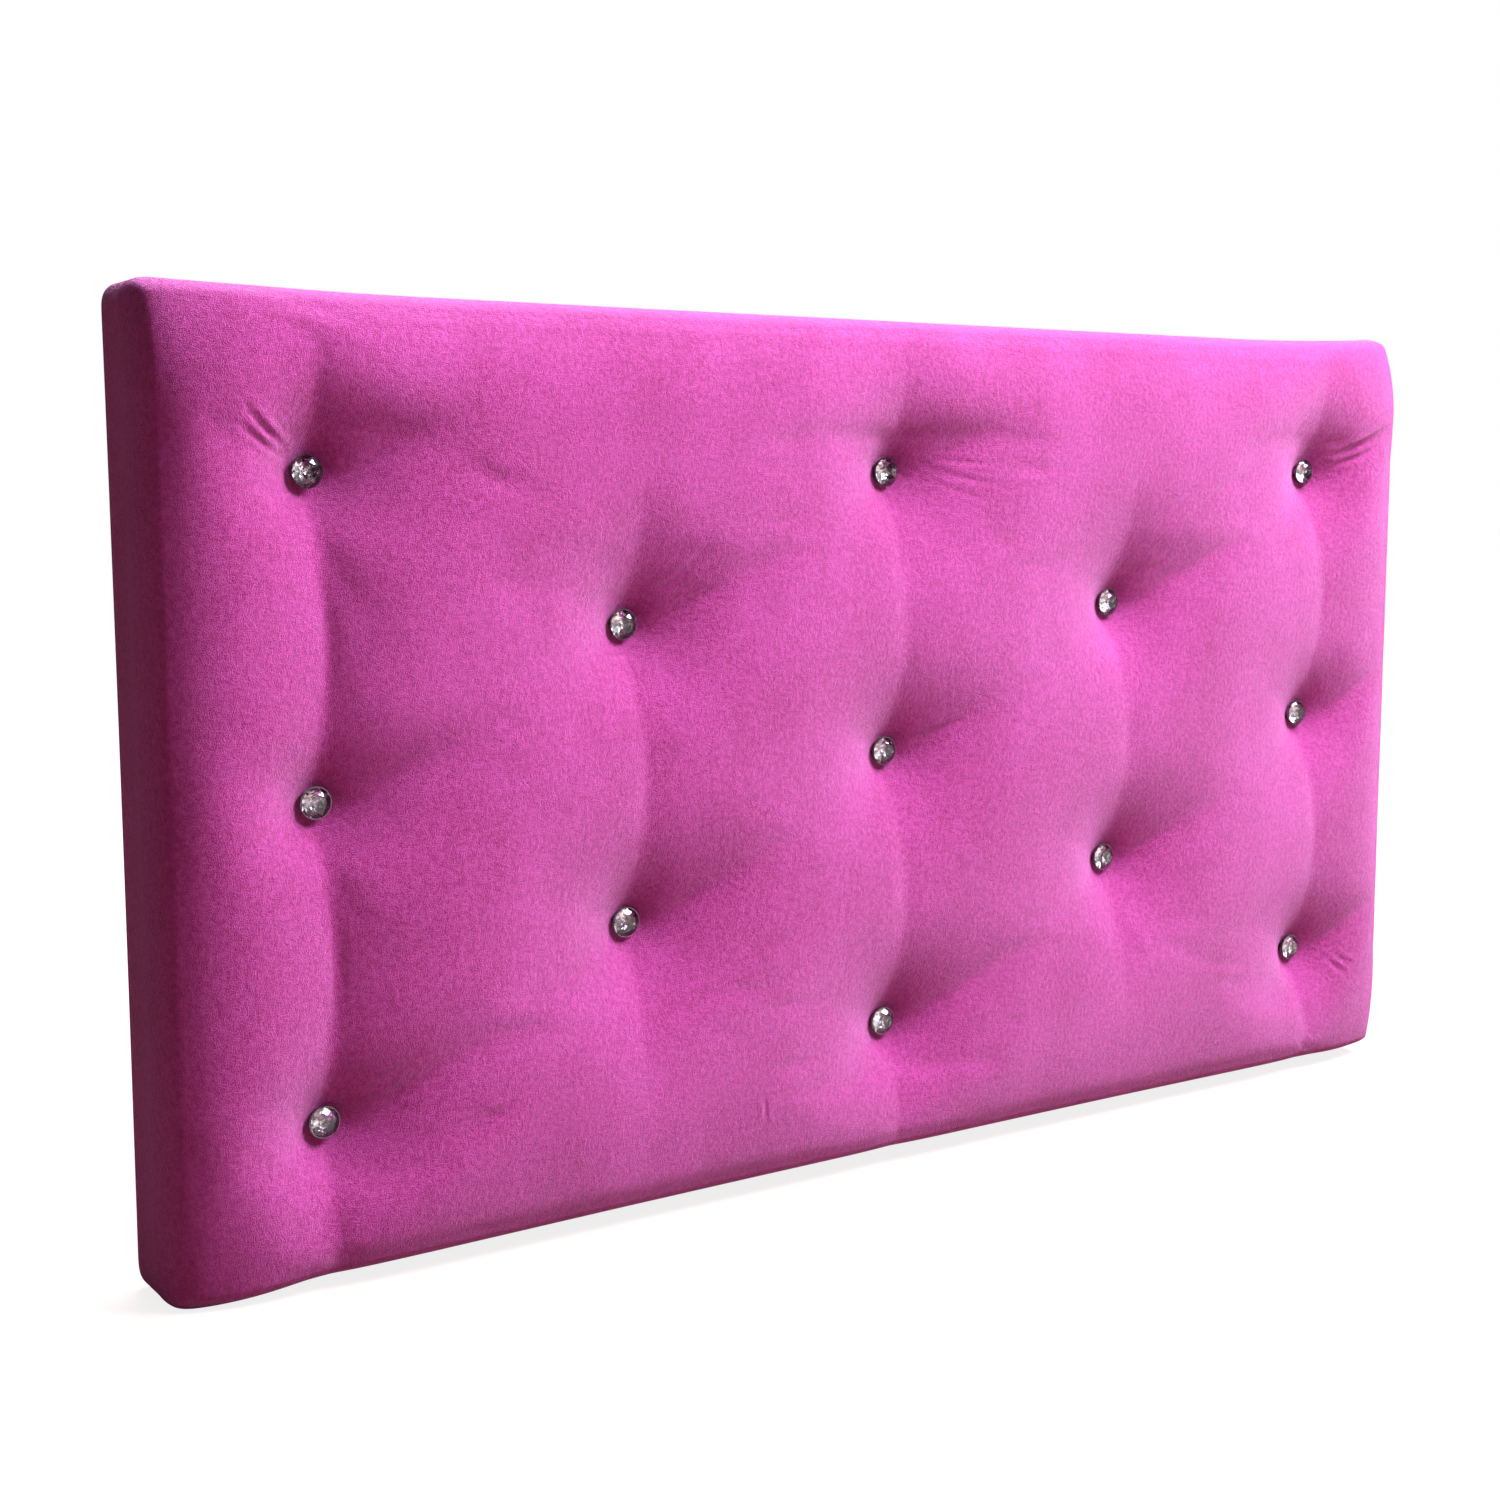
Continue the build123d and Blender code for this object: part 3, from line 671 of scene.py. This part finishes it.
def dust_lines(half, stops):
    """Grid lines across the cloth, with one on each side of every opening."""
    marks = sorted({-half, half, *[s + side * bolt_opening / 2 for s in stops for side in (-1, 1)]})
    placed = [-half]
    for start_, end_ in zip(marks, marks[1:]):
        placed += list(np.linspace(start_, end_, max(2, round((end_ - start_) / dust_cell)) + 1)[1:])
    return np.array(placed)


dust_x, dust_z = np.meshgrid(
    dust_lines(dust_half[0], bolt_xs), dust_lines(dust_half[1], bolt_zs), indexing="ij")
off_wood = np.minimum.reduce([
    np.clip(room / sag_reach, 0, 1) for room in (
        inside_frame[0] - np.abs(dust_x), inside_frame[1] - np.abs(dust_z),
        np.abs(np.abs(dust_x) - bolt_xs[1]) - upright_half)])
sag = sag_deep * eased(off_wood)
from_edge = np.minimum(dust_half[0] - np.abs(dust_x), dust_half[1] - np.abs(dust_z))
turned = turned_thick * (1 - eased((from_edge - turned_width) / turned_ease))
waver = pucker_waver * np.sin(dust_z * waver_turn)
puckers = pucker_deep * np.sin((dust_x + dust_z) * pucker_turn + waver) * eased(off_wood * 2)
dust_y = dust_face - sag + puckers * np.exp(-((from_edge / pucker_reach) ** 2)) - turned_thick + turned
dust_index = np.arange(dust_x.size).reshape(dust_x.shape)
cell_x = (dust_x[:-1, :-1] + dust_x[1:, 1:]) / 2
cell_z = (dust_z[:-1, :-1] + dust_z[1:, 1:]) / 2
kept = np.ones(cell_x.shape, bool)
for x in bolt_xs:
    for z in bolt_zs:
        kept &= (np.abs(cell_x - x) > bolt_opening / 2) | (np.abs(cell_z - z) > bolt_opening / 2)
dust_quads = np.stack([dust_index[:-1, :-1], dust_index[:-1, 1:], dust_index[1:, 1:], dust_index[1:, :-1]], 2)[kept]
dust = meshed("dust_cloth", [np.stack([dust_x, dust_y, dust_z], 2).reshape(-1, 3)], [dust_quads])
dust_finish, dust_tree, dust_shader = finish("Black spunbond", Roughness=0.8)
dust_place = object_place(dust_tree)
dust_points = add(dust_tree, "ShaderNodeTexVoronoi", {"Vector": dust_place, "Scale": 620.0}).outputs["Distance"]
dust_fibre = add(dust_tree, "ShaderNodeTexNoise", {
    "Vector": dust_place, "Scale": 240.0, "Detail": 5.0, "Distortion": 1.5}).outputs[0]
dust_tree.links.new(
    between(dust_tree, ranged(dust_tree, dust_fibre, 0.35, 0.7), dust_black, dust_worn), dust_shader["Base Color"])
dust_tree.links.new(ranged(dust_tree, dust_fibre, 0.3, 0.7, 0.65, 0.9), dust_shader["Roughness"])
dust_tree.links.new(bumped(dust_tree, dust_points, 0.0003), dust_shader["Normal"])
dust.data.materials.append(dust_finish)
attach(dust, "root")
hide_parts("dust_cover")


# Dust cover staples: the same galvanised wire, shot through the cloth's turned edge into the frame and
# lying flush with it.
dress(["dust_cover_staples"], staple_wire)


# Button cups: thirteen pressed brass cups, chromed outside and silvered inside, each with a wire loop behind for
# the twine and a thin rim round the stone. The chrome's colour is painted very dark to stand in for dark
# reflections; the foil is painted with glints.
# The rim's very dark metal colour is painted dark reflection, not the chrome's own colour.
rim_bright, rim_dark = (0.16, 0.14, 0.15, 1), (0.06, 0.05, 0.055, 1)
# The silvered inside's bright and dark mosaic is painted sparkle: glints and dark reflections put into the foil's
# colour.
foil_painted_glint, foil_painted_dark_reflection = (0.80, 0.76, 0.79, 1), (0.10, 0.05, 0.07, 1)
foil_facets, foil_roughness = 620.0, 0.12
foil_starts = (-0.0537, -0.0532)

cup_finish, cup_tree, cup_shader = finish("Chromed cup", Metallic=1.0)
cup_place = object_place(cup_tree)
cup_depth = add(cup_tree, "ShaderNodeSeparateXYZ", {"Vector": cup_place}).outputs["Y"]
in_cup = ranged(cup_tree, cup_depth, *foil_starts)
rim_skin = use(cup_tree, plating, {
    "Place": cup_place, "Bright": rim_bright, "Dull": rim_dark, "Spot Size": 0.002, "Smooth": 0.12, "Rough": 0.3})
foil = add(cup_tree, "ShaderNodeTexVoronoi", {"Vector": cup_place, "Scale": foil_facets}).outputs
foil_sparkle_share = add(cup_tree, "ShaderNodeSeparateColor", {"Color": foil["Color"]}).outputs[0]
foil_painted_sparkle = between(cup_tree, ranged(cup_tree, foil_sparkle_share, 0.25, 0.8), foil_painted_dark_reflection, foil_painted_glint)
cup_tree.links.new(between(cup_tree, in_cup, rim_skin["Color"], foil_painted_sparkle), cup_shader["Base Color"])
cup_roughness = add(cup_tree, "ShaderNodeMix", {0: in_cup, 2: rim_skin["Roughness"], 3: foil_roughness}).outputs[0]
cup_tree.links.new(cup_roughness, cup_shader["Roughness"])
foil_relief = worked(cup_tree, "MULTIPLY", foil["Distance"], in_cup)
cup_tree.links.new(bumped(cup_tree, foil_relief, 0.0008), cup_shader["Normal"])
dress(["button_cups"], cup_finish)


# Crystals: thirteen 16 mm stones of clear glass, brilliant cut and silvered behind, set in the
# cups. The sparkle of their small facets is painted into the glass's colour, a fine mosaic of glints and dark
# facets.
crystal_painted_glint, crystal_painted_dark_facet = (0.97, 0.95, 0.98, 1), (0.13, 0.10, 0.12, 1)
crystal_facets = 480.0
crystals = [name for name in nodes if name.startswith("crystal_")]
stone_finish, stone_tree, stone_shader = finish(
    "Cut glass", Roughness=0.0, IOR=1.6, Metallic=0.0, Transmission_Weight=1.0)
stone_place = object_place(stone_tree)
stone_cells = add(stone_tree, "ShaderNodeTexVoronoi", {"Vector": stone_place, "Scale": crystal_facets}).outputs
stone_sparkle_share = add(stone_tree, "ShaderNodeSeparateColor", {"Color": stone_cells["Color"]}).outputs[0]
# The glass's colour is a painted mosaic of bright glints and dark facets.
stone_tree.links.new(
    between(stone_tree, ranged(stone_tree, stone_sparkle_share, 0.3, 0.75), crystal_painted_dark_facet, crystal_painted_glint),
    stone_shader["Base Color"])
dress(crystals, stone_finish)


# Tufting twine: waxed polyester, three plies laid up, through each cup's loop and tied off to the back
# of the face board.
twine_pale, twine_dark = (0.72, 0.68, 0.58, 1), (0.42, 0.38, 0.30, 1)
twines = [name for name in nodes if name.startswith("twine_") and name != "twine_staples"]
twine_finish, twine_tree, twine_shader = finish("Waxed twine", Roughness=0.55)
twine_place = object_place(twine_tree)
twine_lay = add(twine_tree, "ShaderNodeTexWave", {
    "Vector": twine_place, "Scale": 260.0, "Distortion": 1.0}, bands_direction="DIAGONAL").outputs["Fac"]
twine_tree.links.new(between(twine_tree, twine_lay, twine_dark, twine_pale), twine_shader["Base Color"])
twine_tree.links.new(bumped(twine_tree, twine_lay, 0.0002), twine_shader["Normal"])
dress(twines, twine_finish)


# Studio: a white floor and backdrop, one large soft lamp at the upper right, a weaker one above and
# behind, and the photograph's camera.
floor_level = cad_box[0].z - 0.006
camera_place = Vector((-0.7943, -1.0647, 0.1566))
camera_ahead = Vector((0.5626, 0.8171, -0.1253))
camera_up = Vector((0.0724, 0.1022, 0.9921))
camera_lens, camera_sensor = 51.4, 36
floor_half = 9
floor_bounce, sky_colour, white = (0.26, 0.15, 0.135, 1), (1, 0.48, 0.55, 1), (1, 1, 1, 1)
sky_toward = (0.75, -0.2, 0.55)

floor_corners = np.array([(x, z, floor_level) for x, z in ((-1, -1), (1, -1), (1, 1), (-1, 1))], float)
floor_corners[:, :2] *= floor_half
floor = meshed("floor", [floor_corners], [np.array([[0, 1, 2, 3]])], smooth=False)
floor_finish, floor_tree, floor_shader = finish(
    "White floor", Base_Color=floor_bounce, Roughness=0.9, Emission_Color=white)
rays = add(floor_tree, "ShaderNodeLightPath").outputs
seen_ray = worked(floor_tree, "MAXIMUM", rays["Is Camera Ray"], rays["Is Glossy Ray"])
seen_ray = worked(floor_tree, "MAXIMUM", seen_ray, rays["Is Transmission Ray"])
floor_place = object_place(floor_tree)
floor_far = add(floor_tree, "ShaderNodeVectorMath", {0: floor_place}, operation="LENGTH").outputs["Value"]
floor_white = ranged(floor_tree, floor_far, 0.7, 1.6, 0.84, 1.0)
floor_tree.links.new(worked(floor_tree, "MULTIPLY", seen_ray, floor_white), floor_shader["Emission Strength"])
floor.data.materials.append(floor_finish)

world = bpy.data.worlds.new("Studio")
bpy.context.scene.world = world
world.use_nodes = True
world_tree = world.node_tree
backdrop = world_tree.nodes["Background"].inputs
world_rays = add(world_tree, "ShaderNodeLightPath").outputs
world_seen = worked(world_tree, "MAXIMUM", world_rays["Is Camera Ray"], world_rays["Is Transmission Ray"])
sky_way = add(world_tree, "ShaderNodeTexCoord").outputs["Generated"]
sky_side = add(world_tree, "ShaderNodeVectorMath", {0: sky_way, 1: sky_toward}, operation="DOT_PRODUCT").outputs
sky_level = ranged(world_tree, sky_side["Value"], -0.6, 0.9, 0.015, 0.19)
world_tree.links.new(worked(world_tree, "MAXIMUM", sky_level, world_seen), backdrop["Strength"])
world_tree.links.new(between(world_tree, world_seen, sky_colour, white), backdrop["Color"])


def soft_lamp(name, place, aim, size, power, colour):
    """A square area lamp facing a point."""
    lamp = bpy.data.lights.new(name, "AREA")
    lamp.shape = "SQUARE"
    lamp.size = size
    lamp.energy = power
    lamp.color = colour
    held_lamp = bpy.data.objects.new(name, lamp)
    held_lamp.location = place
    held_lamp.rotation_mode = "QUATERNION"
    held_lamp.rotation_quaternion = (Vector(aim) - Vector(place)).to_track_quat("-Z", "Y")
    held_lamp.visible_camera = False
    bpy.context.scene.collection.objects.link(held_lamp)


soft_lamp("window", place=(0.87, -0.86, 1.40), aim=(-2.2, 0, -0.7), size=1.0, power=124, colour=(0.94, 1.0, 1.1))
soft_lamp("skylight", place=(0.3, 0.8, 2.0), aim=(0, 0, 0.1), size=1.3, power=70, colour=(0.92, 1.0, 1.1))

camera_data = bpy.data.cameras.new("camera")
camera_data.sensor_width = camera_sensor
camera_data.lens = camera_lens
camera = bpy.data.objects.new("camera", camera_data)
bpy.context.scene.collection.objects.link(camera)
camera.location = camera_place
camera_ahead.normalize()
camera_right = camera_ahead.cross(camera_up).normalized()
camera_up = camera_right.cross(camera_ahead)
camera.rotation_mode = "QUATERNION"
camera.rotation_quaternion = Matrix((camera_right, camera_up, -camera_ahead)).transposed().to_quaternion()
bpy.context.scene.camera = camera
bpy.context.scene.view_settings.view_transform = "Standard"
